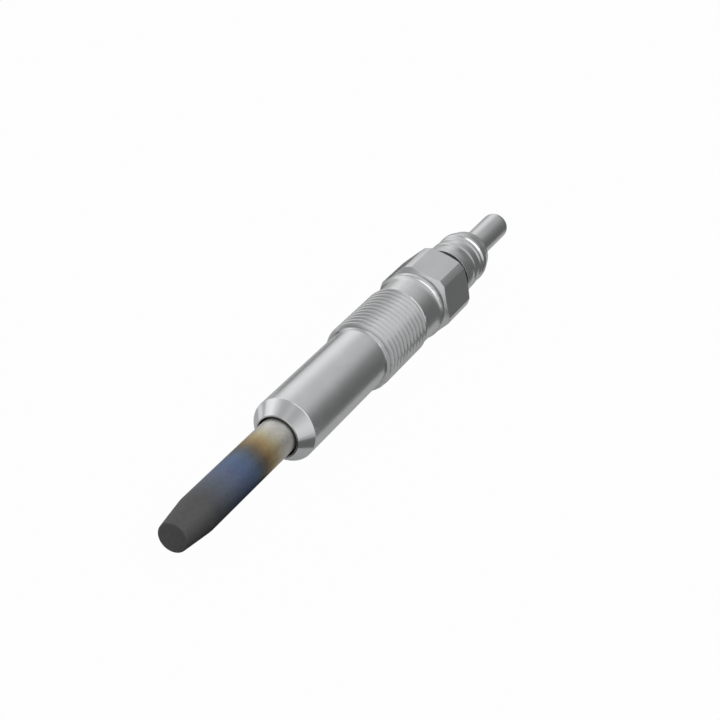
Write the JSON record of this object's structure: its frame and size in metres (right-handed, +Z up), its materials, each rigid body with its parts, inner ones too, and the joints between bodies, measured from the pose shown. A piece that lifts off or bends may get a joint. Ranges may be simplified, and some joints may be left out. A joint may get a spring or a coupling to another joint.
{
  "type": "diesel glow plug",
  "caption": "Sheathed diesel glow plug with a tapered heater tube, a cone-seated threaded steel body with a hexagon, an insulating bush and a round terminal nut with a push-on pin.",
  "frame": {"origin": "on the axis, where the cone seat meets the plain shank", "axes": "+X along the axis from the hot tip to the terminal pin, +Z up, with a flat of the hexagon facing down"},
  "size_m": [0.0937, 0.011, 0.01],
  "materials": {
    "housing_steel": "bright plated, finely turned",
    "heat_tinted_steel": "satin, tinted grey, blue and straw by heat",
    "coil_alloy": "drawn wire",
    "magnesium_oxide": "packed powder",
    "seal_rubber": "moulded",
    "rod_steel": "drawn",
    "bush_plastic": "matte",
    "nut_steel": "nickel plated, turned"
  },
  "bodies": {
    "root": {"housing": "housing_steel", "heater_tube": "heat_tinted_steel", "heating_coil": "coil_alloy", "regulating_coil": "coil_alloy", "insulating_powder": "magnesium_oxide", "tube_seal": "seal_rubber", "connecting_rod": "rod_steel", "o_ring": "seal_rubber", "insulating_bush": "bush_plastic", "terminal_nut": "nut_steel"}
  },
  "joints": []
}
